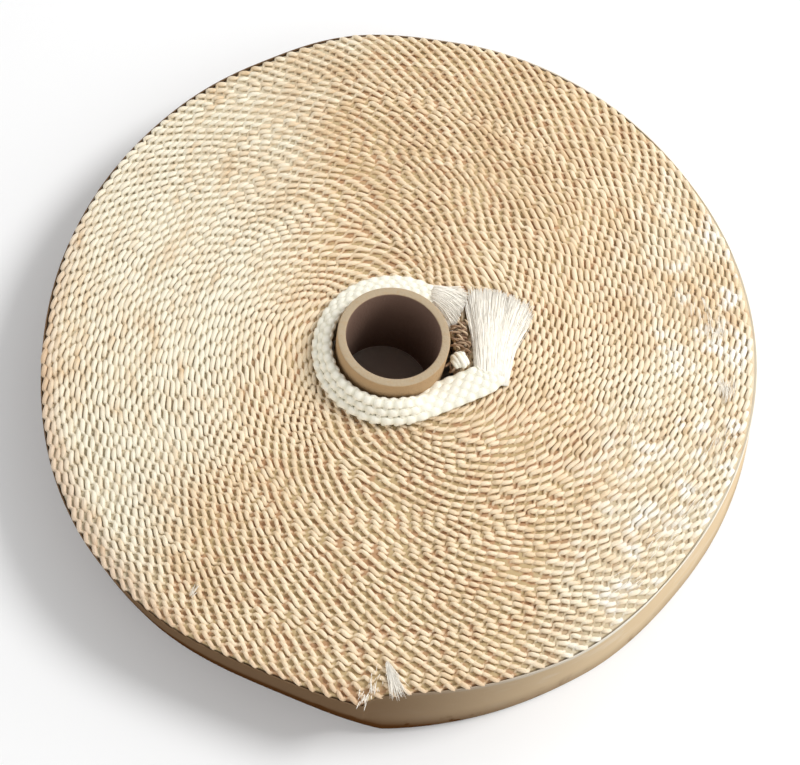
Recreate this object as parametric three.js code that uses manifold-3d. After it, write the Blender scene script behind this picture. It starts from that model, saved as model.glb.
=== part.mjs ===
// Exhaust heat wrap: woven tape wound on a cardboard tube, lying on one end face.
// The roll's axis is upright (+Z) and its lower end face is at z = 0.
import * as THREE from "three";
import { mergeVertices } from "three/addons/utils/BufferGeometryUtils.js";
import Module from "manifold-3d";

const wasm = await Module();
wasm.setup();

// The tape as wound, in millimetres
const TAPE_WIDTH = 25.4;
const TURN_PITCH = 1.54;
const TURNS = 51;
const TURNS_PER_RING = 3;
const GROOVE_WIDTH = 1;
const GROOVE_DEPTH = 0.8;
const BASE_SPREAD = 2.8;

// The cardboard tube, which leans a little and stands proud of the upper face
const CORE_BORE_RADIUS = 13.2;
const CORE_WALL = 2.5;
const CORE_LENGTH = 30;
const CORE_PROUD = 9.5;
const CORE_LEAN = 9;
const CORE_LEAN_TOWARD = 54;
const CORE_OFFSET_X = -1.9;
const CORE_OFFSET_Y = -3.5;

// The room between the tube and the innermost turn
const CORE_ROOM = 5.8;

// The white strip round the tube: its collar slopes from the tube down to the end face
const COLLAR_RISE = 5;
const COLLAR_RADIUS = 23;
const STRIP_THICKNESS = 1.5;
const STRIP_DEPTH = 2;
const STRIP_FROM = 50;
const STRIP_TO = 325;
const TUFT_SHOULDER = 0.94;
const TUFT_THICKNESS = 2.4;

// The strip's two frayed ends: where each starts from the roll's axis, which way it runs
const LONG_TUFT = { rootX: 20.5, rootY: -17, heading: 75, length: 31, rootWidth: 11, tipWidth: 16.5 };
const SHORT_TUFT = { rootX: 9.5, rootY: 13.6, heading: -14, length: 11.5, rootWidth: 4, tipWidth: 8.6 };

// The loose outer end of the tape, and the thin band that holds the roll closed
const TAIL_FROM = 222;
const TAIL_TO = 265.5;
const TAIL_LIFT = 2.6;
const TAIL_ROOT = 3;
const BRIDGE_TO = 284;
const BAND_THICKNESS = 0.5;
const BAND_FOOT = 0.6;
const BAND_DROP = 1.4;

// Clearance between neighbouring pieces, and how finely round shapes are cut
const GAP = 0.3;
const RING_SIDES = 40;
const ROUND_SIDES = 48;
const BAND_SIDES = 80;

const coreRadius = CORE_BORE_RADIUS + CORE_WALL;
const rollBoreRadius = coreRadius + CORE_ROOM;
const rollRadius = rollBoreRadius + TURNS * TURN_PITCH;
const collarTop = TAPE_WIDTH + COLLAR_RISE;
const lean = THREE.MathUtils.degToRad(CORE_LEAN);
const leanToward = THREE.MathUtils.degToRad(CORE_LEAN_TOWARD);
const coreOffset = new THREE.Vector2(CORE_OFFSET_X, CORE_OFFSET_Y);

const finishes = {
  weave: new THREE.MeshStandardMaterial({ color: 0xc9a97c, roughness: 0.85, metalness: 0 }),
  cardboard: new THREE.MeshStandardMaterial({ color: 0xb9a58b, roughness: 0.8, metalness: 0 }),
  strip: new THREE.MeshStandardMaterial({ color: 0xe9e6d8, roughness: 0.9, metalness: 0 }),
  band: new THREE.MeshStandardMaterial({ color: 0x9c8158, roughness: 0.35, metalness: 0 }),
};

// Turns a closed geometry into a solid that can be joined and cut
function solid(geometry) {
  const bare = geometry.clone();
  bare.deleteAttribute("normal");
  bare.deleteAttribute("uv");
  const merged = mergeVertices(bare, 1e-4);
  return new wasm.Manifold(
    new wasm.Mesh({
      numProp: 3,
      vertProperties: merged.attributes.position.array,
      triVerts: new Uint32Array(merged.index.array),
    }),
  );
}

// Turns a solid back into a geometry
function geometryOf(shape) {
  const mesh = shape.getMesh();
  const geometry = new THREE.BufferGeometry();
  geometry.setAttribute("position", new THREE.BufferAttribute(mesh.vertProperties, 3));
  geometry.setIndex(new THREE.BufferAttribute(mesh.triVerts, 1));
  geometry.computeVertexNormals();
  return geometry;
}

function namedMesh(name, geometry, material) {
  const mesh = new THREE.Mesh(geometry, material);
  mesh.name = name;
  return mesh;
}

// Revolves a closed outline of (radius, height) points about the upright axis
function revolve(outline, sides) {
  const closed = [...outline, outline[0]];
  return new THREE.LatheGeometry(closed, sides).rotateX(Math.PI / 2);
}

// Raises an outline of plan points from one height to another
function prism(outline, low, high) {
  const shape = Array.isArray(outline) ? new THREE.Shape(outline) : outline;
  const geometry = new THREE.ExtrudeGeometry(shape, { depth: high - low, bevelEnabled: false });
  return geometry.translate(0, 0, low);
}

function polar(radius, degrees) {
  const angle = THREE.MathUtils.degToRad(degrees);
  return new THREE.Vector2(radius * Math.cos(angle), radius * Math.sin(angle));
}

// Spreads the roll's round side a little towards the floor
function spread(geometry) {
  const position = geometry.attributes.position;
  for (let i = 0; i < position.count; i++) {
    const below = 1 - position.getZ(i) / TAPE_WIDTH;
    const scale = 1 + (BASE_SPREAD / rollRadius) * below;
    position.setX(i, position.getX(i) * scale);
    position.setY(i, position.getY(i) * scale);
  }
  return geometry;
}

// How far the outer turn stands off the round, by the angle round the roll
function tailLift(degrees) {
  const along = (degrees - TAIL_FROM) / (TAIL_TO - TAIL_FROM);
  return along > 0 && along <= 1 ? TAIL_LIFT * along * along : 0;
}

// The band follows the outer turn and bridges the step at its end
function bandLift(degrees) {
  if (degrees <= TAIL_TO) return tailLift(degrees);
  const along = (degrees - TAIL_TO) / (BRIDGE_TO - TAIL_TO);
  return along < 1 ? TAIL_LIFT * (1 - along) ** 1.5 : 0;
}

// One end face's rings, from the outside in: a flat land for a few turns, then a groove
function ringPoints(face, inward) {
  const pitch = TURNS_PER_RING * TURN_PITCH;
  const innermost = rollBoreRadius - coreOffset.length();
  const count = Math.ceil((rollRadius - innermost) / pitch);
  const points = [];
  for (let ring = 0; ring < count; ring++) {
    const outside = rollRadius - ring * pitch;
    const groove = outside - pitch;
    points.push(new THREE.Vector2(outside, face));
    points.push(new THREE.Vector2(groove + GROOVE_WIDTH, face));
    points.push(new THREE.Vector2(groove + GROOVE_WIDTH / 2, face + inward * GROOVE_DEPTH));
  }
  return points;
}

// The outer turn's end, as a crescent that grows out of the round
function tailPrism() {
  const outer = [];
  const inner = [];
  const steps = 12;
  for (let step = 0; step <= steps; step++) {
    const degrees = TAIL_FROM + ((TAIL_TO - TAIL_FROM) * step) / steps;
    outer.push(polar(rollRadius - GAP + tailLift(degrees), degrees));
    inner.push(polar(rollRadius - TAIL_ROOT, degrees));
  }
  return prism([...outer, ...inner.reverse()], 0, TAPE_WIDTH);
}

// The bore follows the tube's place, so it lies a little off the round's centre
function wrapRoll() {
  const top = ringPoints(TAPE_WIDTH, -1);
  const bottom = ringPoints(0, 1);
  const turned = solid(spread(revolve([...bottom, ...top.reverse()].reverse(), RING_SIDES)));
  const tail = solid(spread(tailPrism()));
  const past = 5;
  const cutter = new THREE.CylinderGeometry(
    rollBoreRadius, rollBoreRadius, TAPE_WIDTH + 2 * past, ROUND_SIDES,
  );
  cutter.rotateX(Math.PI / 2);
  cutter.translate(coreOffset.x, coreOffset.y, TAPE_WIDTH / 2);
  const bored = turned.add(tail).subtract(solid(cutter));
  return namedMesh("wrap_roll", geometryOf(bored), finishes.weave);
}

// The tube turns about the point where the collar meets it
function coreTube() {
  const top = CORE_PROUD - COLLAR_RISE;
  const bottom = top - CORE_LENGTH;
  const outline = [
    new THREE.Vector2(CORE_BORE_RADIUS, bottom),
    new THREE.Vector2(coreRadius, bottom),
    new THREE.Vector2(coreRadius, top),
    new THREE.Vector2(CORE_BORE_RADIUS, top),
  ];
  const mesh = namedMesh("core_tube", revolve(outline, ROUND_SIDES), finishes.cardboard);
  mesh.position.set(coreOffset.x, coreOffset.y, collarTop);
  const hinge = new THREE.Vector3(-Math.sin(leanToward), Math.cos(leanToward), 0);
  mesh.quaternion.setFromAxisAngle(hinge, lean);
  return mesh;
}

// A frayed end as a flat plain form that widens from its root to its soft tip
function tuft({ rootX, rootY, heading, length, rootWidth, tipWidth }) {
  const root = new THREE.Vector2(rootX, rootY);
  const ahead = polar(1, heading);
  const aside = polar(1, heading + 90);
  const place = (along, across) =>
    root.clone().addScaledVector(ahead, along).addScaledVector(aside, across);
  const shape = new THREE.Shape();
  const [left, right, tipRight, tipLeft, crown] = [
    place(0, rootWidth / 2),
    place(0, -rootWidth / 2),
    place(length * TUFT_SHOULDER, -tipWidth / 2),
    place(length * TUFT_SHOULDER, tipWidth / 2),
    place(length * (2 - TUFT_SHOULDER), 0),
  ];
  shape.moveTo(left.x, left.y);
  shape.lineTo(right.x, right.y);
  shape.lineTo(tipRight.x, tipRight.y);
  shape.quadraticCurveTo(crown.x, crown.y, tipLeft.x, tipLeft.y);
  const base = TAPE_WIDTH + GAP;
  return solid(prism(shape, base, base + TUFT_THICKNESS));
}

function innerStrip() {
  const leanShift = (COLLAR_RISE + STRIP_DEPTH) * Math.tan(lean);
  const inner = coreRadius / Math.cos(lean) + GAP;
  const foot = inner + leanShift;
  const seat = TAPE_WIDTH + GAP;
  const outline = [
    new THREE.Vector2(inner, collarTop),
    new THREE.Vector2(inner + STRIP_THICKNESS / 2, collarTop),
    new THREE.Vector2(COLLAR_RADIUS, seat + STRIP_THICKNESS / 3),
    new THREE.Vector2(COLLAR_RADIUS, seat),
    new THREE.Vector2(COLLAR_RADIUS - STRIP_THICKNESS, seat),
    new THREE.Vector2(inner + STRIP_THICKNESS, collarTop - STRIP_THICKNESS),
    new THREE.Vector2(foot + STRIP_THICKNESS, TAPE_WIDTH - STRIP_DEPTH),
    new THREE.Vector2(foot, TAPE_WIDTH - STRIP_DEPTH),
  ];
  const ring = revolve(outline.reverse(), ROUND_SIDES);
  ring.translate(coreOffset.x, coreOffset.y, 0);
  const reach = 2 * COLLAR_RADIUS;
  const opening = [
    new THREE.Vector2(0, 0),
    polar(reach, STRIP_TO),
    polar(reach, (STRIP_TO + STRIP_FROM + 360) / 2),
    polar(reach, STRIP_FROM),
  ];
  const gap = prism(opening, 0, 2 * TAPE_WIDTH).translate(coreOffset.x, coreOffset.y, 0);
  const open = solid(ring).subtract(solid(gap));
  const whole = open.add(tuft(LONG_TUFT)).add(tuft(SHORT_TUFT));
  return namedMesh("inner_strip", geometryOf(whole), finishes.strip);
}

function outerBand() {
  const outer = [];
  const inner = [];
  for (let side = 0; side < BAND_SIDES; side++) {
    const degrees = (360 * side) / BAND_SIDES;
    const radius = rollRadius + GAP + bandLift(degrees);
    inner.push(polar(radius, degrees));
    outer.push(polar(radius + BAND_THICKNESS, degrees));
  }
  const shape = new THREE.Shape(outer);
  shape.holes.push(new THREE.Path(inner));
  const ring = spread(prism(shape, BAND_FOOT, TAPE_WIDTH - BAND_DROP));
  return namedMesh("outer_band", ring, finishes.band);
}

// The finished group stands with its box centred on the origin, in plan
const heatWrap = new THREE.Group();
heatWrap.add(wrapRoll(), coreTube(), innerStrip(), outerBand());
heatWrap.updateMatrixWorld(true);
const middle = new THREE.Box3().setFromObject(heatWrap, true).getCenter(new THREE.Vector3());
heatWrap.position.set(-middle.x, -middle.y, 0);

export default heatWrap;
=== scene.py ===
import math

import bpy
import numpy as np
from bpy.props import FloatProperty, FloatVectorProperty, IntProperty, PointerProperty
from mathutils import Matrix, Vector


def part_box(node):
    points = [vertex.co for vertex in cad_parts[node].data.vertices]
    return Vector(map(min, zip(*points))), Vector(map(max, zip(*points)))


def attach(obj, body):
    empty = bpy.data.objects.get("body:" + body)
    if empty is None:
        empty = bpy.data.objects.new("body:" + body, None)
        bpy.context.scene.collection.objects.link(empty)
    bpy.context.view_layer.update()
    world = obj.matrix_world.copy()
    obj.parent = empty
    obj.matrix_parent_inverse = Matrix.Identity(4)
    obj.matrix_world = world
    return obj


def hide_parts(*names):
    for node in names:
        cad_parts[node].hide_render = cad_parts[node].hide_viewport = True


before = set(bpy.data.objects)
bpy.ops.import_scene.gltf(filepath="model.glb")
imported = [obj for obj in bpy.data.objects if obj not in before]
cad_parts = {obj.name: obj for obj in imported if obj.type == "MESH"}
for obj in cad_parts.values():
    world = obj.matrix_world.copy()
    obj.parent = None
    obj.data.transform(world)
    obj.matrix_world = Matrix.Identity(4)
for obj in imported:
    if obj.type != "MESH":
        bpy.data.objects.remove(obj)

bl_info = {
    "name": "Exhaust heat wrap",
    "version": (1, 0, 0),
    "blender": (4, 5, 0),
    "location": "View3D > Sidebar > Heat wrap",
    "description": "Dresses the packed roll of woven heat wrap with its weave, tube, strip and band",
    "category": "Object",
}

MM = 0.001
FULL_TURN = 2 * math.pi
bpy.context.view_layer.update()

# Places and sizes that the frame gives
ROLL_LOW, ROLL_HIGH = (Vector(corner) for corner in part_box("wrap_roll"))
BAND_LOW, BAND_HIGH = (Vector(corner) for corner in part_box("outer_band"))
BASE_RADIUS = (ROLL_HIGH.x - ROLL_LOW.x) / 2
AXIS_X = (ROLL_LOW.x + ROLL_HIGH.x) / 2
TAPE_WIDTH = ROLL_HIGH.z - ROLL_LOW.z
CORE_LENGTH = 30 * MM
BAND_REACH = (BAND_HIGH.x - BAND_LOW.x) / 2
AXIS_Y = BAND_HIGH.y - BAND_REACH


def length_property(name, description, default):
    return FloatProperty(name=name, description=description, default=default, unit="LENGTH")


def angle_property(name, description, degrees):
    return FloatProperty(
        name=name, description=description, default=math.radians(degrees), unit="ROTATION")


class HeatWrapSizes(bpy.types.PropertyGroup):
    """Sizes of the roll, in metres and radians."""

    tape_width: length_property("Tape width", "Height of the roll as it lies", TAPE_WIDTH)
    base_spread: length_property("Base spread", "How much wider the roll is at the floor", 2 * MM)
    base_slip: length_property("Base slip", "How far the roll's base has slipped sideways", 3 * MM)
    base_slip_toward: angle_property("Slip toward", "Direction that the base has slipped to", 10)
    turns: IntProperty(
        name="Turns", description="Turns of the tape round the tube", default=51)
    turn_pitch: length_property("Turn pitch", "Thickness of one turn as wound", 1.54 * MM)
    wave_length: length_property(
        "Weave wave", "Length of tape that two weft threads take", 3.92 * MM)
    core_bore_radius: length_property(
        "Tube bore radius", "Inner radius of the cardboard tube", 13.2 * MM)
    core_wall: length_property("Tube wall", "Wall of the cardboard tube", 2.5 * MM)
    core_length: length_property("Tube length", "Length of the cardboard tube", CORE_LENGTH)
    core_proud: length_property(
        "Tube stands proud", "Height of the tube's rim over the upper face", 9.5 * MM)
    core_lean: angle_property("Tube lean", "Lean of the tube from upright", 9)
    core_lean_toward: angle_property("Lean toward", "Direction that the tube's rim leans to", 54)
    core_offset: FloatVectorProperty(
        name="Tube offset", description="Place of the tube from the roll's axis",
        default=(-1.9 * MM, -3.5 * MM), size=2, unit="LENGTH")
    core_room: length_property(
        "Room round the tube", "Gap from the tube to the innermost turn", 5.8 * MM)
    slack: length_property("Slack", "How far the inner turns come loose beside the tube", 3 * MM)
    collar_rise: length_property(
        "Collar rise", "Height of the white strip's ridge over the upper face", 5 * MM)
    collar_radius: length_property(
        "Collar radius", "Outer radius of the white strip's collar", 23 * MM)
    strip_from: angle_property("Strip starts", "Angle where the white strip starts", 50)
    strip_leaves: angle_property(
        "Strip leaves", "Angle where the white strip leaves the tube", 293)
    strip_straight: length_property(
        "Strip runs straight", "Straight run of the white strip past the tube", 19 * MM)
    strip_bend: length_property(
        "Strip bends", "Length of the bend before the white strip frays", 9 * MM)
    tail_from: angle_property("Tail lifts from", "Angle where the outer turn starts to lift", 222)
    tail_to: angle_property("Tail ends", "Angle of the tape's outer end", 265.5)
    tail_lift: length_property(
        "Tail lift", "How far the tape's outer end stands off the round", 2.6 * MM)
    bridge_to: angle_property("Band lands", "Angle where the band lies on the round again", 298)
    band_thickness: length_property("Band thickness", "Thickness of the brown band", 0.3 * MM)


def colour_property(name, description, default):
    return FloatVectorProperty(
        name=name, description=description, default=default, size=4, min=0, max=1,
        subtype="COLOR")


class HeatWrapColours(bpy.types.PropertyGroup):
    """Colours of the finishes, in scene linear values."""

    yarn_pale: colour_property("Pale yarn", "Pale cream yarn", (0.86, 0.79, 0.63, 1))
    yarn: colour_property("Yarn", "Cream yarn of most of the face", (0.87, 0.72, 0.51, 1))
    yarn_warm: colour_property("Warm yarn", "Warmer strokes of the yarn", (0.72, 0.53, 0.32, 1))
    # Pale depths and depths are painted shade: the colours the tape's yarn darkens to where it lies
    # low in the weave.
    yarn_deep_pale: colour_property(
        "Pale depths", "Low yarn where the face is pale", (0.66, 0.58, 0.42, 1))
    yarn_deep: colour_property("Depths", "Low yarn in the weave", (0.53, 0.39, 0.2, 1))
    yarn_red: colour_property("Red depths", "Reddish spots in the weave", (0.49, 0.26, 0.13, 1))
    # Painted shade: the dark brown that the yarn loops beside the tube take.
    yarn_loop_shade: colour_property("Brown yarn", "Frayed brown yarn", (0.19, 0.09, 0.04, 1))
    # Partly the white fluff on the weave, partly painted glare on its right side.
    lint_and_glare: colour_property("Lint", "White fluff on the weave", (0.92, 0.9, 0.84, 1))
    strip: colour_property("White strip", "Off-white inner strip", (0.9, 0.87, 0.75, 1))
    # Painted shade of the strip low in its weave, and of the fibres that lie deep in the tufts.
    strip_deep: colour_property("Strip shade", "Strip low in the weave", (0.72, 0.69, 0.55, 1))
    cardboard: colour_property("Cardboard", "Rim of the tube", (0.4, 0.31, 0.2, 1))
    cardboard_side: colour_property("Cardboard side", "Sides of the tube", (0.4, 0.26, 0.13, 1))
    # Painted shade of the tube's bore.
    cardboard_inside: colour_property(
        "Cardboard inside", "Dark bore of the tube", (0.17, 0.1, 0.07, 1))
    band: colour_property("Band", "Khaki-brown band", (0.62, 0.48, 0.31, 1))
    # Also the painted highlight along the band's upper edge on the lit side.
    band_pale: colour_property("Worn band", "Paler patches of the band", (0.75, 0.71, 0.62, 1))
    # Painted shade of the band at its foot and on its shady side, also the colour of its foot
    # stains.
    band_dark: colour_property("Band edge", "Darker foot of the band", (0.075, 0.03, 0.009, 1))
    fuzz: colour_property("Fuzz", "Loose white fibres", (0.97, 0.92, 0.82, 1))
    floor: colour_property("Floor", "Pale floor", (0.9, 0.9, 0.9, 1))


def sizes():
    return bpy.context.scene.heat_wrap_sizes


def colour(name):
    return tuple(getattr(bpy.context.scene.heat_wrap_colours, name))


def add_node(tree, kind, settings, inputs):
    """Adds a node: its settings first, then the values or links of its sockets."""
    node = tree.nodes.new(kind)
    for key, value in settings.items():
        setattr(node, key, value)
    for key, value in inputs.items():
        feed(tree, node.inputs[key], value)
    return node


def feed(tree, socket, value):
    if isinstance(value, Value):
        value = value.socket
    if isinstance(value, bpy.types.NodeSocket):
        tree.links.new(value, socket)
    else:
        socket.default_value = value


class Value:
    """Wraps a shader socket, so that an expression adds its Math nodes."""

    def __init__(self, finish, socket):
        self.finish = finish
        self.socket = socket

    def join(self, operation, first, second):
        return self.finish.value(
            "ShaderNodeMath", {"operation": operation}, {0: first, 1: second})

    def __add__(self, other):
        return self.join("ADD", self, other)

    def __mul__(self, other):
        return self.join("MULTIPLY", self, other)

    def __sub__(self, other):
        return self.join("SUBTRACT", self, other)

    def __rsub__(self, other):
        return self.join("SUBTRACT", other, self)

    def clamped(self):
        return self.finish.value("ShaderNodeClamp", {}, {0: self})


class Finish:
    """One material and its shader nodes."""

    def __init__(self, name, roughness=0.8, sheen=0.0, specular=0.5):
        self.material = bpy.data.materials.new(name)
        self.material.use_nodes = True
        self.tree = self.material.node_tree
        self.tree.nodes.clear()
        self.shader = self.node("ShaderNodeBsdfPrincipled", {}, {
            "Roughness": roughness, "Sheen Weight": sheen, "Specular IOR Level": specular})
        output = self.node("ShaderNodeOutputMaterial", {}, {})
        self.tree.links.new(self.shader.outputs[0], output.inputs["Surface"])

    def node(self, kind, settings, inputs):
        return add_node(self.tree, kind, settings, inputs)

    def value(self, kind, settings, inputs, output=0):
        return Value(self, self.node(kind, settings, inputs).outputs[output])

    def place(self):
        return self.node("ShaderNodeTexCoord", {}, {}).outputs["Object"]

    def axis(self, name):
        return self.value("ShaderNodeSeparateXYZ", {}, {0: self.place()}, name)

    def attribute(self, name):
        return self.value("ShaderNodeAttribute", {"attribute_name": name}, {}, "Fac")

    def noise(self, scale, detail=2.0, stretch=(1, 1, 1)):
        where = self.node("ShaderNodeMapping", {}, {"Vector": self.place(), "Scale": stretch})
        inputs = {"Vector": where.outputs[0], "Scale": scale, "Detail": detail}
        return self.value("ShaderNodeTexNoise", {}, inputs, "Fac")

    def ramp(self, value, low, high):
        inputs = {"Value": value, "From Min": low, "From Max": high}
        return self.value("ShaderNodeMapRange", {"interpolation_type": "SMOOTHSTEP"}, inputs)

    def streaks(self, across_scale, along_scale):
        """Fine noise that is drawn out along a swept thread."""
        along = self.attribute("along") * along_scale
        around = self.attribute("around") * across_scale
        where = self.node("ShaderNodeCombineXYZ", {}, {0: along, 1: around, 2: 0})
        inputs = {"Vector": where.outputs[0], "Scale": 1, "Detail": 2}
        return self.value("ShaderNodeTexNoise", {}, inputs, "Fac")

    def mix(self, factor, first, second):
        inputs = {0: factor, 6: first, 7: second}
        return self.node("ShaderNodeMix", {"data_type": "RGBA"}, inputs).outputs[2]

    def colour(self, value):
        feed(self.tree, self.shader.inputs["Base Color"], value)

    def bump(self, height, distance, strength=1.0):
        inputs = {"Height": height, "Distance": distance, "Strength": strength}
        made = self.node("ShaderNodeBump", {}, inputs)
        feed(self.tree, self.shader.inputs["Normal"], made.outputs[0])


def tape_finish():
    """Tan glass yarn: cream tops, brown in the depths with reddish spots, where the brown is painted
    shade; in soft paler and warmer patches, redder towards the rim on the lower left; white lint on
    the right, which is partly painted glare; and painted shade on the yarn loops beside the tube."""
    finish = Finish("tape_yarn", roughness=0.62, sheen=0.1)
    x = finish.axis("X")
    y = finish.axis("Y")
    patches = finish.ramp(finish.noise(26, 3), 0.42, 0.66)
    left = finish.ramp(y * 0.3 - x, 0.026, 0.056)
    right = finish.ramp(x - y * 0.3, 0.045, 0.075)
    pale = (left + right * 0.8 - patches * 0.3).clamped()
    spots = finish.ramp(finish.noise(240, 2), 0.47, 0.6) * (1 - pale)
    back = finish.ramp(y + x * 0.4, 0.01, 0.07)
    warmth = finish.attribute("tint") * 0.7 + patches * 0.3 - 0.25 - pale * 0.15
    warmth = (warmth + back * 0.3).clamped()
    base = finish.mix(pale, colour("yarn"), colour("yarn_pale"))
    top = finish.mix(warmth, base, colour("yarn_warm"))
    low = finish.mix(pale, colour("yarn_deep"), colour("yarn_deep_pale"))
    low = finish.mix(spots * 0.8, low, colour("yarn_red"))
    # Redder and darker towards the rim on the lower left.
    wear_and_rim_tint = finish.ramp(x * x + y * y, 0.0087, 0.0102) * finish.ramp(x + y, -0.02, -0.1) * 0.5
    # Painted shade: the yarn darkens to the low colours where it lies deep in the weave.
    deep = finish.ramp(finish.attribute("depth"), 0.2, 0.95)
    fibres = finish.streaks(9, 700)
    top = finish.mix(finish.ramp(fibres, 0.5, 0.8) * (back * 0.15 + 0.35), top, low)
    shaded = finish.mix(deep, finish.mix(wear_and_rim_tint, top, colour("yarn_red")), low)
    # Painted shade on the yarn loops beside the tube, as much as their brown value gives.
    shaded = finish.mix(finish.attribute("brown"), shaded, colour("yarn_loop_shade"))
    # White lint on the right: partly loose fluff, partly painted glare.
    lint_and_glare = finish.ramp(finish.noise(150, 5), 0.5, 0.66) * finish.ramp(x - y * 0.25, 0.045, 0.09)
    finish.colour(finish.mix(lint_and_glare * 0.8 * (1 - deep * 0.8), shaded, colour("lint_and_glare")))
    finish.bump(fibres + finish.noise(2600, 2) * 0.5, 0.00022, 0.6)
    return finish


def strip_finish():
    """Off-white glass yarn, greyer with painted shade where it lies low in the weave."""
    finish = Finish("strip_yarn", roughness=0.7, sheen=0.15)
    deep = finish.ramp(finish.attribute("depth"), 0.3, 1.0)
    finish.colour(finish.mix(deep, colour("strip"), colour("strip_deep")))
    finish.bump(finish.noise(2600, 2), 0.0002, 0.5)
    return finish


def fuzz_finish():
    """Loose and frayed glass fibres, nearly white, a little duller where they lie deep, which is
    painted shade under the fibres above.
    """
    finish = Finish("fuzz_fibre", roughness=0.55, sheen=0.2)
    deep = finish.ramp(finish.attribute("depth"), 0.2, 1.0)
    finish.colour(finish.mix(deep * 0.25, colour("fuzz"), colour("strip_deep")))
    return finish


def cardboard_finish():
    """Plain grey-tan card, browner on its sides than on its cut rim, and darkened with painted shade
    in its bore.
    """
    finish = Finish("cardboard", roughness=0.82)
    base = finish.mix(
        finish.attribute("rim"), colour("cardboard_side"), colour("cardboard"))
    speckle = finish.ramp(finish.noise(900, 3), 0.45, 0.8) * 0.5
    card = finish.mix(speckle, base, colour("cardboard_side"))
    finish.colour(finish.mix(finish.attribute("inside"), card, colour("cardboard_inside")))
    finish.bump(finish.noise(1500, 3), 0.0003, 0.6)
    return finish


def band_finish():
    """Thin dull khaki-brown film, with painted shade on its side away from the light and towards its
    foot, stains at its foot, and a painted highlight along its upper edge on the lit side.
    """
    finish = Finish("brown_band", roughness=0.6, specular=0.0)
    # Painted shade towards the foot, where the band meets the floor.
    foot = 1 - finish.ramp(finish.axis("Z"), 0.001, 0.011)
    stains = finish.ramp(finish.noise(160, 4), 0.52, 0.7)
    # Painted shade on the side away from the light.
    shady = 1 - finish.ramp(finish.axis("X"), -0.02, 0.07)
    dark = (foot * 0.32 + stains * foot * 0.4 + shady * 0.86).clamped()
    # Worn paler patches, fewer on the shady side so that its painted shade stays dark.
    wear_and_rim_tint = finish.ramp(finish.noise(90, 3, (1, 1, 3)), 0.5, 0.7) * (1 - foot)
    wear_and_rim_tint = wear_and_rim_tint * (0.2 - shady * 0.16)
    # Painted highlight along the upper edge on the lit side.
    rim = finish.ramp(finish.axis("Z"), 0.0215, 0.0235) * (1 - shady)
    base = finish.mix((wear_and_rim_tint + rim).clamped(), colour("band"), colour("band_pale"))
    finish.colour(finish.mix(dark, base, colour("band_dark")))
    finish.bump(finish.noise(60, 3), 0.0012, 0.35)
    return finish


def floor_finish():
    finish = Finish("floor", roughness=0.9)
    finish.colour(colour("floor"))
    return finish


FINISH_MAKERS = {
    "tape": tape_finish,
    "strip": strip_finish,
    "fuzz": fuzz_finish,
    "cardboard": cardboard_finish,
    "band": band_finish,
    "floor": floor_finish,
}
FINISHES_MADE = {}


def paint(piece, finish):
    if finish not in FINISHES_MADE:
        FINISHES_MADE[finish] = FINISH_MAKERS[finish]()
    piece.data.materials.clear()
    piece.data.materials.append(FINISHES_MADE[finish].material)


def hand_over(piece, finish, slot, *nodes):
    """Paints a finished piece, hides the nodes it stands for, and places it. The slot is not used.
    """
    paint(piece, finish)
    if nodes:
        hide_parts(*nodes)
    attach(piece, "root")


def add_values(mesh, key, values):
    layer = mesh.attributes.new(key, "FLOAT", "POINT")
    layer.data.foreach_set("value", np.asarray(values, dtype=np.float32).ravel())


def mesh_piece(name, points, face_groups, values):
    """Makes a piece from its points and from arrays of faces, each array of one side count."""
    mesh = bpy.data.meshes.new(name)
    mesh.vertices.add(len(points))
    mesh.vertices.foreach_set("co", np.asarray(points, dtype=np.float32).ravel())
    corners = np.concatenate([group.ravel() for group in face_groups])
    sides = np.concatenate([np.full(len(group), group.shape[1]) for group in face_groups])
    starts = np.concatenate([[0], np.cumsum(sides)[:-1]])
    mesh.loops.add(len(corners))
    mesh.loops.foreach_set("vertex_index", corners.astype(np.int32))
    mesh.polygons.add(len(sides))
    mesh.polygons.foreach_set("loop_start", starts.astype(np.int32))
    mesh.update(calc_edges=True)
    mesh.polygons.foreach_set("use_smooth", np.ones(len(sides), dtype=bool))
    for key, column in values.items():
        add_values(mesh, key, column)
    piece = bpy.data.objects.new(name, mesh)
    bpy.context.scene.collection.objects.link(piece)
    return piece


def sweep(name, centres, across, upward, values, sides, twist=0.0):
    """Joins closed strands into one piece. Centres are strands x rings x 3 numbers; across and
    upward are the section's half axes, of the same shape; values are strands x rings numbers,
    or strands x rings x sides."""
    count, rings = centres.shape[:2]
    angle = twist + FULL_TURN * np.arange(sides) / sides
    wide = np.cos(angle)[None, None, :, None] * across[:, :, None, :]
    tall = np.sin(angle)[None, None, :, None] * upward[:, :, None, :]
    points = (centres[:, :, None, :] + wide + tall).reshape(-1, 3)
    ring = np.arange(rings - 1)[:, None] * sides
    side = np.arange(sides)[None, :]
    after = (side + 1) % sides
    quads = np.stack(
        [ring + side, ring + after, ring + after + sides, ring + side + sides], axis=-1)
    starts = np.arange(count) * rings * sides
    quads = (starts[:, None, None] + quads.reshape(-1, 4)[None]).reshape(-1, 4)
    first = starts[:, None] + np.arange(sides)[::-1][None]
    last = starts[:, None] + (rings - 1) * sides + np.arange(sides)[None]
    groups = [quads, first, last]
    ahead = centres[0, 1] - centres[0, 0]
    if np.dot(np.cross(across[0, 0], upward[0, 0]), ahead) < 0:
        groups = [group[:, ::-1] for group in groups]
    around = np.broadcast_to(np.abs(np.arange(sides) / sides - 0.5), (count, rings, sides))
    columns = {"around": around}
    for key, column in values.items():
        if column.ndim == 2:
            column = np.repeat(column[:, :, None], sides, axis=2)
        columns[key] = column
    return mesh_piece(name, points, groups, columns)


def eased(share):
    """A share from 0 to 1 with soft ends."""
    return share * share * (3 - 2 * share)


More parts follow.
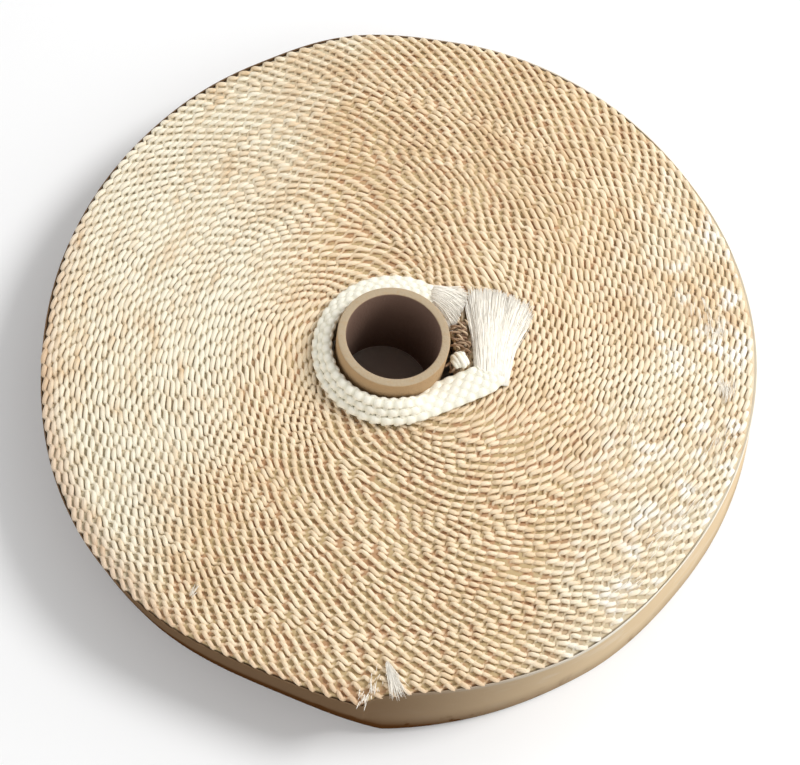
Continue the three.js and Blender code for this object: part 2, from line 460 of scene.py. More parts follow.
def apply_modifier(piece, kind, **settings):
    """Adds a modifier with its settings and applies it."""
    modifier = piece.modifiers.new(kind.lower(), kind)
    for key, value in settings.items():
        setattr(modifier, key, value)
    bpy.ops.object.modifier_apply(modifier=modifier.name)


def face_outward():
    bpy.ops.object.mode_set(mode="EDIT")
    bpy.ops.mesh.select_all(action="SELECT")
    bpy.ops.mesh.normals_make_consistent(inside=False)
    bpy.ops.object.mode_set(mode="OBJECT")


def unit(vectors):
    return vectors / np.linalg.norm(vectors, axis=-1, keepdims=True)


def upright(like, reach):
    """Upward half axes for a sweep, shaped like its centres."""
    upward = np.zeros_like(like)
    upward[..., 2] = reach
    return upward


def move_points(piece, x, y, height):
    points = np.stack([x, y, height], axis=-1)
    piece.data.vertices.foreach_set("co", points.astype(np.float32).ravel())


def smooth_field(seed, count, wavelength):
    """A soft random field in plan: a sum of waves of about one length, about -1 to 1."""
    random = np.random.default_rng(seed)
    heading = random.uniform(0, FULL_TURN, count)
    length = wavelength * random.uniform(0.6, 1.8, count)
    phase = random.uniform(0, FULL_TURN, count)

    def field(x, y):
        total = np.zeros_like(x)
        for k in range(count):
            along = x * math.cos(heading[k]) + y * math.sin(heading[k])
            total = total + np.sin(FULL_TURN * along / length[k] + phase[k])
        return total / math.sqrt(count)

    return field


# Directions round the roll: where the inner turns are slack, where the band's edge stands out,
# and where the white strip stands apart from the tube and is raised
SLACK_TOWARD = math.radians(5)
LIP_TOWARD = math.radians(355)
APART_TOWARD = math.radians(190)
RAISED_TOWARD = math.radians(262)
# The short arc over which the outer turns fall back past the tape's end
FALL_ARC = math.radians(2.5)


def core_radius():
    return sizes().core_bore_radius + sizes().core_wall


def roll_bore_radius():
    return core_radius() + sizes().core_room


def roll_radius():
    return roll_bore_radius() + sizes().turns * sizes().turn_pitch


def core_centre():
    size = sizes()
    return np.array([AXIS_X + size.core_offset[0], AXIS_Y + size.core_offset[1]])


# Where the roll isn't quite round: direction in degrees, half of the arc, and how far out
OUT_OF_ROUND = (
    (215, 42, 2.7), (248, 20, -1.3), (98, 18, 2.0), (5, 30, 0.8), (322, 22, -0.9))


def out_of_round(angle):
    out = 0
    for toward, half_arc, reach in OUT_OF_ROUND:
        away = angle_apart(angle, math.radians(toward))
        share = np.clip(1 - away / math.radians(half_arc), 0, 1)
        out = out + reach * MM * eased(share)
    return out


def turned_past_end(angle):
    """How far an angle lies past the tape's outer end, from 0 to a full turn."""
    return (angle - sizes().tail_to) % FULL_TURN


def angle_apart(angle, toward):
    return np.abs(np.angle(np.exp(1j * (angle - toward))))


def tail_lift(angle):
    """How far the outer turn stands off the round, at an angle round the roll."""
    size = sizes()
    along = (angle - size.tail_from) / (size.tail_to - size.tail_from)
    return np.where((along > 0) & (along <= 1), size.tail_lift * along**3, 0.0)


def lift_round_end(angle):
    """The outer turn's lift before the tape's end, and its steep fall after it."""
    fallen = sizes().tail_lift * np.exp(-turned_past_end(angle) / FALL_ARC)
    return np.maximum(tail_lift(angle), fallen)


def turn_lift(angle, turn):
    """How far a turn stands off: the last three lift together before the tape's end, and fall
    back steeply after it."""
    share = np.clip((turn - (sizes().turns - 4)) / 3, 0, 1)
    return share * lift_round_end(angle % FULL_TURN)


def band_lift(angle):
    """The band follows the lifted turn, then comes back to the round."""
    size = sizes()
    peak = size.tail_to + math.radians(2)
    before = np.clip((angle - size.tail_from) / (peak - size.tail_from), 0, 1) ** 4
    after = np.clip((angle - peak) / (size.bridge_to - peak), 0, 1)
    return 1.1 * size.tail_lift * np.where(angle <= peak, before, (1 - after) ** 1.5)


def spread_scale(height, angle):
    """The roll widens a little towards the floor, and more where its base has slipped out."""
    size = sizes()
    wider = size.base_spread + size.base_slip * np.cos(angle - size.base_slip_toward)
    return 1 + wider / roll_radius() * (1 - height / size.tape_width)


def settled(angle):
    """The spiral's step settles into the round: how far out the outer turns lie."""
    size = sizes()
    along = turned_past_end(angle) / FULL_TURN
    even = size.turn_pitch * (0.62 - 0.91 * along)
    sunk = -0.3 * size.turn_pitch
    recovery = 0.09
    return np.where(along < recovery, sunk + (even - sunk) * (along / recovery) ** 2, even)


def rim_radius(angle):
    """How far out the tips of the outermost turn's weave reach, before any lift."""
    size = sizes()
    along = turned_past_end(angle) / FULL_TURN
    return roll_radius() + size.turn_pitch * (along - 0.83) + settled(angle)


def roll_point(radius, angle, height):
    """A point of the roll: the inner turns lie round the tube, the outer round the axis."""
    size = sizes()
    inner = roll_bore_radius()
    outward = np.clip((radius - inner) / (roll_radius() - inner), 0, 1)
    slack = np.clip(1.4 - 1.8 * angle_apart(angle, SLACK_TOWARD), 0, 1)
    slack = slack * np.clip(1 - (radius - inner) / (5 * size.turn_pitch), 0, 1)
    radius = radius - slack * size.slack
    radius = radius + (settled(angle) + out_of_round(angle)) * outward**3
    scale = 1 + (spread_scale(height, angle) - 1) * outward
    x = AXIS_X + size.core_offset[0] * (1 - outward) + radius * np.cos(angle) * scale
    y = AXIS_Y + size.core_offset[1] * (1 - outward) + radius * np.sin(angle) * scale
    return x, y


def band_radius(angle, up):
    """The band's inner face, from its foot at 0 to its upper edge at 1: the foot runs in a
    wide bow past the tape's end, and the upper edge hugs the weave."""
    hug = eased(np.clip((up - 0.15) / 0.7, 0, 1))
    lip = np.clip(np.cos(angle - LIP_TOWARD) * 3 - 2, 0, 1)
    lip = lip * np.clip((up - 0.975) / 0.025, 0, 1) * 0.8 * MM
    low_radius = roll_radius() + 0.3 * MM + band_lift(angle)
    high_radius = rim_radius(angle) - 0.1 * MM + lift_round_end(angle) + lip
    return low_radius * (1 - hug) + high_radius * hug + out_of_round(angle)


# One wave of the tape's edge, ring by ring: place along the wave, place across the turn from
# -1 to 1, then half width, half height and height over the mean, in turn pitches, then the
# place along the wave where the strokes lie steeper, and how far the ring sinks there
EDGE_WAVE = np.array([
    (0.00, -0.95, 0.41, 0.44, 0.00, 0.00, 0.1),
    (0.15, -0.70, 0.45, 0.48, 0.08, 0.10, 0.0),
    (0.32, -0.25, 0.47, 0.50, 0.14, 0.21, 0.0),
    (0.48, 0.25, 0.47, 0.50, 0.14, 0.32, 0.0),
    (0.65, 0.70, 0.45, 0.48, 0.08, 0.43, 0.0),
    (0.79, 0.95, 0.41, 0.44, 0.00, 0.54, 0.1),
    (0.89, 0.00, 0.39, 0.38, -0.14, 0.77, 0.5),
])
PLAINER_WAVE = EDGE_WAVE[[0, 2, 3, 5, 6]]
WAVE_DEPTH = 1.25


def nested_waves(start, pitch, turns):
    """Turns and the waves counted up to them, where each turn nests half a wave off the last:
    each pass draws the waves from turn to turn closer to a whole number and a half."""
    per_turn = 360
    passes = 3
    table_turns = np.arange(int(turns) * per_turn + per_turn + 1) / per_turn
    length = FULL_TURN * (start * table_turns + pitch * table_turns**2 / 2)
    between_turns = FULL_TURN * (start + pitch * (table_turns + 0.5)) / sizes().wave_length
    for _ in range(passes):
        between_turns = between_turns + np.sin(FULL_TURN * between_turns) / FULL_TURN
    waves = length / length[per_turn] * between_turns[0]
    for place in range(per_turn, len(waves)):
        waves[place] = waves[place - per_turn] + between_turns[place - per_turn]
    return table_turns, waves


def edge_strand(name, wave, sides, first_turn, last_turn, upper, seed):
    """The woven edge of some turns on one end face, as one long waving strand."""
    size = sizes()
    pitch = size.turn_pitch
    start = roll_bore_radius() - pitch / 2
    table_turns, table_waves = nested_waves(start, pitch, last_turn + 1)
    first, last = (
        int(np.interp(turn, table_turns, table_waves)) for turn in (first_turn, last_turn))
    waves = np.arange(first, last)
    swing, half_width, half_height, level = (
        np.tile(wave[:, column], len(waves)) * pitch for column in (1, 2, 3, 4))
    random = np.random.default_rng(seed + 3)
    per_wave = np.arange(len(waves) + 1)
    ring_wave = (np.arange(len(waves))[:, None] + wave[None, :, 0]).reshape(-1)

    def uneven(spread):
        return np.interp(ring_wave, per_wave, random.normal(0, spread, len(per_wave)))

    half_width = half_width * (1 + uneven(0.07))
    level = level + uneven(0.07) * pitch
    drift = smooth_field(seed, 5, 0.9)
    wave_place = ring_wave + first
    wandering = drift(wave_place * size.wave_length, wave_place * 0)
    wave_place = wave_place + 0.2 * wandering + uneven(0.04)
    turn = np.interp(wave_place, table_waves, table_turns)
    toward_back = np.sin(size.tail_to + FULL_TURN * turn)
    steep = toward_back**2 * np.where(toward_back > 0, 0.6, 1)
    wave_place = wave_place + steep * np.tile(wave[:, 5] - wave[:, 0], len(waves))
    turn = np.interp(wave_place, table_waves, table_turns)
    level = level - (0.3 + 0.7 * steep) * np.tile(wave[:, 6], len(waves)) * pitch
    radius = start + pitch * turn
    along = FULL_TURN * (start * turn + pitch * turn**2 / 2)
    angle = size.tail_to + FULL_TURN * turn
    lift = turn_lift(angle, turn)
    half_width = half_width * (1.06 - 0.14 * steep)
    swing = swing * (1 + uneven(0.2)) * (0.22 + 0.26 * steep)
    crest = (wave[:, 3] + wave[:, 4]).max() * pitch
    face = size.tape_width if upper else 0.0
    facing = 1 if upper else -1
    flat = np.full(len(radius), face)
    x, y = roll_point(radius, angle, flat)
    wander = smooth_field(seed + 1, 7, 0.022)(x, y) * 0.16 * pitch
    sink = np.abs(smooth_field(seed + 2, 7, 0.03)(x, y)) * 0.14 * pitch
    x, y = roll_point(radius + lift + wander + swing, angle, flat)
    height = face - facing * np.maximum(crest - level + sink, half_height)
    centres = np.stack([x, y, height], axis=-1)
    heading = np.gradient(centres, axis=0)
    heading[:, 2] = 0
    heading = unit(heading)
    across = np.stack([heading[:, 1], -heading[:, 0], heading[:, 2]], axis=-1)
    across = across * half_width[:, None]
    upward = upright(across, half_height)
    tint = 0.5 + uneven(0.4)
    angles = math.pi / 2 + FULL_TURN * np.arange(sides) / sides
    reach = level[:, None] + facing * half_height[:, None] * np.sin(angles)[None]
    # How deep each ring lies in the weave, for the painted shade in its hollows.
    depth = (crest - reach) / (WAVE_DEPTH * pitch)
    return sweep(
        name, centres[None], across[None], upward[None],
        {"tint": tint[None], "depth": depth[None], "along": along[None]}, sides,
        twist=math.pi / 2)


def weave_face(face, wave, sides, cuts, seed):
    """Makes the woven edges of one end face, a piece for each ring of turns."""
    for ring, (first, last) in enumerate(zip(cuts, cuts[1:]), 1):
        piece = edge_strand(
            f"{face}_weave_{ring}", wave, sides, first, last, face == "upper", seed)
        hand_over(piece, "tape", "woven_tape", "wrap_roll")


class HEATWRAP_OT_wound_body(bpy.types.Operator):
    """Make the roll's solid body, with a ridge for each turn under the weave"""

    bl_idname = "heatwrap.wound_body"
    bl_label = "Wound body"

    def execute(self, context):
        size = sizes()
        pitch = size.turn_pitch
        inner = roll_bore_radius()
        outside = roll_radius() - 0.5 * MM
        valley = 1.6 * MM
        ridge = 1.15 * MM
        bottom = []
        for turn in range(size.turns):
            bottom.append((inner + turn * pitch + 0.05 * MM, valley))
            bottom.append((inner + (turn + 0.5) * pitch, ridge))
        bottom = [(*point, 0) for point in bottom]
        top = [(radius, size.tape_width - height, 0) for radius, height, _ in reversed(bottom)]
        walls = [(outside, valley + up * (size.tape_width - 2 * valley), 1)
                 for up in np.linspace(0, 1, 7)]
        profile = np.array(bottom + walls + top)
        around = 132
        bpy.ops.object.select_all(action="DESELECT")
        bpy.ops.mesh.primitive_torus_add(
            major_segments=around, minor_segments=len(profile),
            major_radius=2 * outside, minor_radius=outside)
        piece = context.active_object
        piece.name = "wound_body"
        angle = np.repeat(FULL_TURN * np.arange(around) / around, len(profile))
        radius = np.tile(profile[:, 0], around)
        height = np.tile(profile[:, 1], around)
        rim = np.clip((radius - inner) / (outside - inner) * 4 - 3, 0, 1)
        since_end = turned_past_end(angle) / FULL_TURN
        radius = radius - rim * pitch * (1 - since_end) + rim * turn_lift(angle, size.turns)
        x, y = roll_point(radius, angle, height)
        wall = np.tile(profile[:, 2], around) > 0
        up = (height - BAND_LOW.z) / (BAND_HIGH.z - BAND_LOW.z)
        wall_radius = (band_radius(angle, up) - 0.3 * MM) * spread_scale(height, angle)
        x = np.where(wall, AXIS_X + wall_radius * np.cos(angle), x)
        y = np.where(wall, AXIS_Y + wall_radius * np.sin(angle), y)
        move_points(piece, x, y, height)
        face_outward()
        bpy.ops.object.shade_smooth()
        # The body lies deep under the weave, so it takes the painted shade of the hollows.
        add_values(piece.data, "depth", np.full(len(x), 0.9))
        add_values(piece.data, "tint", np.full(len(x), 0.5))
        hand_over(piece, "tape", "woven_tape", "wrap_roll")
        return {"FINISHED"}


class HEATWRAP_OT_upper_weave(bpy.types.Operator):
    """Make the woven edges of the turns on the upper face, in three rings of turns"""

    bl_idname = "heatwrap.upper_weave"
    bl_label = "Upper weave"

    def execute(self, context):
        turns = sizes().turns
        weave_face("upper", EDGE_WAVE, 6, (0, turns * 0.51, turns * 0.78, turns), 11)
        return {"FINISHED"}


class HEATWRAP_OT_under_weave(bpy.types.Operator):
    """Make the woven edges of the turns on the lower face, a little plainer"""

    bl_idname = "heatwrap.under_weave"
    bl_label = "Under weave"

    def execute(self, context):
        turns = sizes().turns
        weave_face("under", PLAINER_WAVE, 5, (0.5, turns * 0.68, turns), 31)
        return {"FINISHED"}


class HEATWRAP_OT_core_tube(bpy.types.Operator):
    """Make the cardboard tube with its rounded rims and its lean"""

    bl_idname = "heatwrap.core_tube"
    bl_label = "Core tube"

    def execute(self, context):
        size = sizes()
        outer = core_radius()
        bpy.ops.object.select_all(action="DESELECT")
        bpy.ops.mesh.primitive_cylinder_add(
            vertices=128, radius=outer, depth=size.core_length, end_fill_type="NOTHING")
        piece = context.active_object
        piece.name = "cardboard_tube"
        apply_modifier(piece, "SOLIDIFY", thickness=size.core_wall, offset=-1)
        apply_modifier(
            piece, "BEVEL", width=0.45 * MM, segments=3, limit_method="ANGLE",
            angle_limit=math.radians(40))
        bpy.ops.object.shade_smooth_by_angle(angle=math.radians(50))
        height = np.array([vertex.co.z for vertex in piece.data.vertices])
        rim = np.abs(height) > size.core_length / 2 - 0.2 * MM
        across = np.array([vertex.co.xy.length for vertex in piece.data.vertices])
        add_values(piece.data, "rim", rim)
        # Marks the bore, where the card takes painted shade.
        add_values(piece.data, "inside", across < size.core_bore_radius + 0.1 * MM)
        pivot = Vector((*core_centre(), size.tape_width + size.collar_rise))
        hinge = Vector((-math.sin(size.core_lean_toward), math.cos(size.core_lean_toward), 0))
        drop = Matrix.Translation((0, 0, size.core_proud - size.collar_rise - size.core_length / 2))
        piece.data.transform(
            Matrix.Translation(pivot) @ Matrix.Rotation(size.core_lean, 4, hinge) @ drop)
        hand_over(piece, "cardboard", "cardboard", "core_tube")
        return {"FINISHED"}


def strip_path():
    """The white strip's outer edge: it runs round the tube, leaves it straight, then bends.
    Gives distances along it, places, headings, and the distance where it leaves."""
    size = sizes()
    step = 0.25 * MM
    ring = size.collar_radius * (size.strip_leaves - size.strip_from)
    straight_end = ring + size.strip_straight
    distance = np.arange(0, straight_end + size.strip_bend, step)
    turning = np.where(distance < ring, 1 / size.collar_radius, 0.0)
    turning = np.where(distance > straight_end, math.radians(50) / size.strip_bend, turning)
    heading = size.strip_from + math.pi / 2 + np.cumsum(turning) * step
    start = core_centre() + size.collar_radius * np.array(
        [math.cos(size.strip_from), math.sin(size.strip_from)])
    x = start[0] + np.cumsum(np.cos(heading)) * step
    y = start[1] + np.cumsum(np.sin(heading)) * step
    return distance, x, y, heading, ring


def strip_corners():
    """Corners of the strip's section round the tube, from its outer edge over its ridge:
    distance in from the outer edge, height, and how much the tube's lean lifts it."""
    size = sizes()
    radius = size.collar_radius
    ridge = core_radius() / math.cos(size.core_lean) + 1.0 * MM
    top = size.tape_width + size.collar_rise - 0.4 * MM
    return np.array([
        (0.6 * MM, size.tape_width + 0.8 * MM, 0),
        (radius - ridge - 1.6 * MM, top - 0.5 * MM, 0.9),
        (radius - ridge, top, 1),
        (radius - ridge - 0.5 * MM, size.tape_width + 0.6 * MM, 0.2),
    ])


def strip_stations():
    steps = np.linalg.norm(np.diff(strip_corners()[:, :2], axis=0), axis=1)
    return np.concatenate([[0], np.cumsum(steps)])


def strip_section(across, loose, tilt):
    """Distance in from the outer edge, and height, at a distance across the strip. Loose is 0
    round the tube and 1 where the strip lies flat, and tilt is the lean's lift."""
    corners = strip_corners()
    stations = strip_stations()
    inward = np.interp(across, stations, corners[:, 0])
    height = np.interp(across, stations, corners[:, 1])
    height = height + tilt * np.interp(across, stations, corners[:, 2])
    crown = np.sin(math.pi * np.clip(across / stations[-1], 0, 1))
    flat = sizes().tape_width + 1.1 * MM + 0.8 * MM * crown
    inward = inward + (0.5 * MM + 0.78 * across - inward) * loose
    return inward, height + (flat - height) * loose


def strip_point(distance, across):
    """A point of the white strip, with the ways along it, across it and out of it."""
    stations, x, y, heading, ring = strip_path()
    heading = np.interp(distance, stations, heading)
    loose = eased(np.clip((distance - ring + 6 * MM) / (14 * MM), 0, 1))
    size = sizes()
    round_tube = heading - math.pi / 2
    off_lean = round_tube - size.core_lean_toward
    tilt = -math.tan(size.core_lean) * core_radius() * np.cos(off_lean)
    near = 0.7 * MM
    share = np.clip(across / strip_stations()[-1], 0, 1) * (1 - loose)
    apart = 1.0 * MM * np.clip(np.cos(round_tube - APART_TOWARD), 0, 1) * share**2
    raised = 0.6 * MM * np.clip(np.cos(round_tube - RAISED_TOWARD), 0, 1) * share
    inward, height = strip_section(across, loose, tilt)
    inward = inward - apart
    height = height + raised
    ahead = np.array(strip_section(across + near, loose, tilt))
    behind = np.array(strip_section(across - near, loose, tilt))
    run = ahead - behind
    run = run / np.linalg.norm(run, axis=0)
    flat = np.zeros_like(heading)
    along = np.stack([np.cos(heading), np.sin(heading), flat], axis=-1)
    toward = np.stack([-np.sin(heading), np.cos(heading), flat], axis=-1)
    point = toward * inward[..., None]
    point[..., 0] += np.interp(distance, stations, x)
    point[..., 1] += np.interp(distance, stations, y)
    point[..., 2] = height
    crosswise = toward * run[0][..., None]
    crosswise[..., 2] = run[1]
    out = np.cross(along, crosswise)
    return point, along, crosswise, out


class HEATWRAP_OT_inner_strip(bpy.types.Operator):
    """Make the off-white strip round the tube, as a plain weave of real threads"""

    bl_idname = "heatwrap.inner_strip"
    bl_label = "Inner strip"

    def execute(self, context):
        ends = 5
        end_gap = strip_stations()[-1] / ends
        pick = 1.8 * MM
        length = strip_path()[0][-1]
        picks = int(length / pick)
        steps = np.arange(picks * 4 + 1) / 4
        lane = np.arange(ends)
        distance, across = np.meshgrid(steps * pick, (lane + 0.5) * end_gap)
        wave = np.cos(math.pi * (steps[None, :] + lane[:, None]))
        wave = np.sign(wave) * np.abs(wave) ** 0.75
        random = np.random.default_rng(23)
        wave = wave * (1 + random.normal(0, 0.12, wave.shape))
        point, along, crosswise, out = strip_point(distance, across)
        centres = point + out * (wave * 0.16 * MM)[..., None]
        plump = (0.59 + 0.03 * wave) * end_gap
        # The depth values, here and in the weft, give the painted shade where the threads dip under
        # each other.
        warp = sweep(
            "strip_warp", centres, crosswise * plump[..., None], out * (0.62 * MM),
            {"depth": 0.4 - 0.4 * wave, "along": distance}, 10)
        hand_over(warp, "strip", "white_strip", "inner_strip")
        rows = np.arange(picks)
        lane_steps = np.linspace(0, ends, ends * 3 + 1)
        distance, across = np.meshgrid((rows + 0.5) * pick, lane_steps * end_gap, indexing="ij")
        wave = -np.cos(math.pi * (rows[:, None] + lane_steps[None, :]))
        point, along, crosswise, out = strip_point(distance, across)
        centres = point + out * (wave * 0.3 * MM - 0.25 * MM)[..., None]
        weft = sweep(
            "strip_weft", centres, along * (0.42 * pick), out * (0.5 * MM),
            {"depth": 0.8 - 0.2 * wave, "along": across}, 8)
        hand_over(weft, "strip", "white_strip", "inner_strip")
        return {"FINISHED"}


# The two frayed ends of the white strip, from the roll's axis: root, heading, length, and
# widths at the root, halfway and at the tip, in millimetres and degrees
LONG_TUFT = {"root": (26.0, -14), "heading": 88, "length": 29.3, "widths": (8.5, 11.5, 17),
             "strands": 2200, "swing": -0.07, "uneven": 0.15, "seed": 5}
SHORT_TUFT = {"root": (8.2, 13.4), "heading": -20, "length": 11, "widths": (5.5, 9, 12),
              "strands": 700, "swing": -0.2, "uneven": 0.05, "seed": 6}


def fibres(name, centres, aside, half, values):
    """Joins fibres of three sides: aside points level across each, and half is their size."""
    across = np.zeros_like(centres)
    across[..., :2] = aside
    return sweep(
        name, centres, across * half[..., None], upright(centres, half), values, 3)


def fibre_tuft(name, tuft):
    """Many fine fibres side by side that fan out from the root and scatter at the tip."""
    random = np.random.default_rng(tuft["seed"])
    count = tuft["strands"]
    rings = 8
    heading = math.radians(tuft["heading"])
    ahead = np.array([math.cos(heading), math.sin(heading)])
    aside = np.array([-ahead[1], ahead[0]])
    root = np.array([AXIS_X, AXIS_Y]) + np.array(tuft["root"]) * MM
    lane = random.uniform(-0.5, 0.5, count)
    layer = random.uniform(0, 1, count) ** 0.6
    reach = tuft["length"] * MM * random.uniform(0.82, 1.03, count)
    reach = reach * (1 - 0.35 * np.abs(2 * lane) ** 3 * random.uniform(0, 0.4, count))
    reach = reach * (1 - tuft["uneven"] * np.clip(0.5 - lane, 0, 1) ** 1.6)
    share = np.linspace(0, 1, rings)
    width = MM * np.interp(share, [0, 0.55, 1], tuft["widths"])
    curl = random.normal(0, 0.7, count) * MM
    ripple = random.uniform(0, FULL_TURN, count)[:, None] + 5 * share[None]
    side = (lane[:, None] * width[None] + curl[:, None] * share[None] ** 2
            + 0.22 * MM * np.sin(ripple) + tuft["swing"] * reach[:, None] * share[None] ** 2)
    plan = (root + share[None, :, None] * reach[:, None, None] * ahead
            + side[..., None] * aside)
    crown = 1 - (2 * lane) ** 4
    arch = np.interp(share, [0, 0.15, 0.35, 0.75, 1], [0.1, 0.9, 1.2, 0.95, 0.35])[None]
    base = sizes().tape_width + 0.5 * MM
    height = base + MM * layer[:, None] * (0.4 + 2.0 * crown[:, None]) * arch
    centres = np.concatenate([plan, height[..., None]], axis=-1)
    thick = MM * (0.34 - 0.21 * layer) * random.uniform(0.8, 1.2, count)
    taper = np.interp(share, [0, 0.8, 1], [1, 0.9, 0.4])
    half = thick[:, None] * taper[None]
    # Lower fibres are marked deep, for painted shade under the fibres above them.
    depth = np.repeat((1 - layer)[:, None], rings, axis=1) * 0.7
    along = share[None] * reach[:, None]
    return fibres(name, centres, aside, half, {"depth": depth, "along": along})


class HEATWRAP_OT_frayed_ends(bpy.types.Operator):
    """Make the two frayed ends of the white strip"""

    bl_idname = "heatwrap.frayed_ends"
    bl_label = "Frayed ends"

    def execute(self, context):
        for name, tuft in (("long_tuft", LONG_TUFT), ("short_tuft", SHORT_TUFT)):
            hand_over(fibre_tuft(name, tuft), "fuzz", "white_strip", "inner_strip")
        return {"FINISHED"}


# Loose white fibres on the upper face, from the roll's axis: place, heading, length, scatter
# and number, in millimetres and degrees
LOOSE_FIBRES = (
    (-8.4, -98.6, 250, 2.2, 0.7, 26),
    (-6.8, -98.6, 80, 2.4, 0.6, 22),
    (-3.4, -89.6, -71, 8.6, 0.25, 80),
    (-2.6, -92.6, -71, 5.4, 0.35, 70),
    (-5.5, -95.4, 70, 1.8, 1.2, 12),
    (-55.1, -73.9, 60, 3, 0.3, 12),
    (66.3, -25.9, 70, 3.5, 4, 20),
    (79, -41.7, 60, 3.5, 4, 20),
    (84.6, 9.5, 97, 4, 3.0, 14),
    (89.5, 0.3, 91, 5, 2.5, 18),
    (91.5, -18.0, 80, 6, 1.4, 30),
    (86.5, -33.5, 70, 5, 2.4, 18),
    (78.5, -50.0, 58, 4, 2.4, 16),
    (69.5, -61.5, 50, 4, 2.4, 16),
    (59.0, -71.5, 40, 4, 1.8, 12),
)


def loose_fibres():
    """Fine fibres that lie scattered on the weave."""
    random = np.random.default_rng(17)
    table = np.repeat(np.array(LOOSE_FIBRES), [row[5] for row in LOOSE_FIBRES], axis=0)
    count = len(table)
    share = np.linspace(0, 1, 5)
    root = table[:, :2] + random.normal(0, 1, (count, 2)) * table[:, 4:5]
    heading = np.radians(table[:, 2] + random.normal(0, 6, count))
    bend = random.normal(0, 0.18, count)[:, None] * share[None]
    length = table[:, 3] * random.uniform(0.4, 1.1, count)
    step = length[:, None] / (len(share) - 1) * np.ones((1, len(share)))
    x = root[:, :1] + np.cumsum(np.cos(heading[:, None] + bend) * step, axis=1)
    y = root[:, 1:] + np.cumsum(np.sin(heading[:, None] + bend) * step, axis=1)
    rise = random.uniform(0.05, 0.45, count)[:, None] * np.sin(math.pi * share)[None]
    height = sizes().tape_width + MM * (random.uniform(0, 0.3, count)[:, None] + rise)
    centres = np.stack([AXIS_X + x * MM, AXIS_Y + y * MM, height], axis=-1)
    thick = MM * random.uniform(0.06, 0.13, count)[:, None] * np.interp(
        share, [0, 0.2, 0.8, 1], [0.5, 1, 0.9, 0.3])[None]
    aside = np.stack([-np.sin(heading), np.cos(heading)], axis=-1)[:, None]
    values = {"depth": np.zeros((count, len(share))), "along": x * MM}
    return fibres("loose_fibres", centres, aside, thick, values)


def wound_thread(name, centre, reach, turns, tilt, thread, stretch, brown, seed):
    """A thread wound round a small core: closed in like a knot, or drawn out into loops by
    stretch, which is the length that the turns take along their axis."""
    random = np.random.default_rng(seed)
    rings = int(turns * 18)
    share = np.linspace(0, 1, rings)
    turn = FULL_TURN * turns * share + seed
    polar = np.pi * (0.2 + 0.72 * share)
    closing = np.ones(rings) if stretch else np.sin(polar)
    run = (share - 0.5) * stretch if stretch else np.cos(polar) * reach[1]
    knots = np.linspace(0, 1, 13)
    wobble = np.interp(share, knots, random.uniform(0.7, 1.25, 13))
    stray = [np.interp(share, knots, random.normal(0, 0.045 * stretch, 13)) for _ in range(2)]
    out = np.stack([np.cos(turn), np.zeros(rings), np.sin(turn)], axis=-1)
    local = np.stack([
        reach[0] * closing * wobble * np.cos(turn) + stray[0], run + stray[1],
        reach[2] * closing * wobble * np.sin(turn)], axis=-1)
    swing = np.array(Matrix.Rotation(math.radians(tilt), 3, "Z"))
    points = local @ swing.T * MM + np.array([AXIS_X, AXIS_Y, sizes().tape_width])
    points = points + np.array(centre) * MM
    out = out @ swing.T
    heading = unit(np.gradient(points, axis=0))
    across = unit(np.cross(heading, out))
    upward = np.cross(across, heading)
    thick = thread * MM * np.interp(share, [0, 0.06, 0.94, 1], [0.5, 1, 1, 0.5])[:, None]
    values = {"depth": np.full((1, rings), 0.2), "tint": np.full((1, rings), 0.9),
              "brown": np.full((1, rings), brown),
              "along": share[None] * turns * 0.01}
    return sweep(name, points[None], (across * thick)[None], (upward * thick)[None], values, 8)


class HEATWRAP_OT_loose_ends(bpy.types.Operator):
    """Make the loose fibres on the weave, and the knot and yarn loops beside the tube"""

    bl_idname = "heatwrap.loose_ends"
    bl_label = "Loose ends"

    def execute(self, context):
        hand_over(loose_fibres(), "fuzz", "white_strip")
        knot = wound_thread(
            "thread_knot", (17, -7.0, 2.2), (2.0, 2.1, 1.7), 4.4, -60, 0.8, 0, 0.0, 2)
        hand_over(knot, "strip", "white_strip")
        # Of each curl of yarn: place, tilt, reach and how brown it is, the brown being painted shade
        # of the hollow beside the tube. The lower two are shorter, and the lowest fills the shaded
        # hollow under the knot.
        curls = (
            (16.2, 1.0, 4, 1.2, 0.85), (17.4, 1.4, -12, 1.1, 0.4), (18.6, 0.4, 14, 0.9, 0.9),
            (17.0, 0.0, 25, 1.3, 0.7), (15.0, -9.2, 60, 1.0, 0.8), (19.2, -3.0, -8, 0.8, 0.75))
        for number, (x, y, tilt, reach, brown) in enumerate(curls, 1):
            length = 8.5 if y > -1 else 4
            loops = wound_thread(
                f"yarn_loops_{number}", (x, y, 0.8), (reach, 1, 1.0), length / 2, tilt, 0.33,
                length, brown, 4 + number)
            hand_over(loops, "tape", "woven_tape")
        return {"FINISHED"}


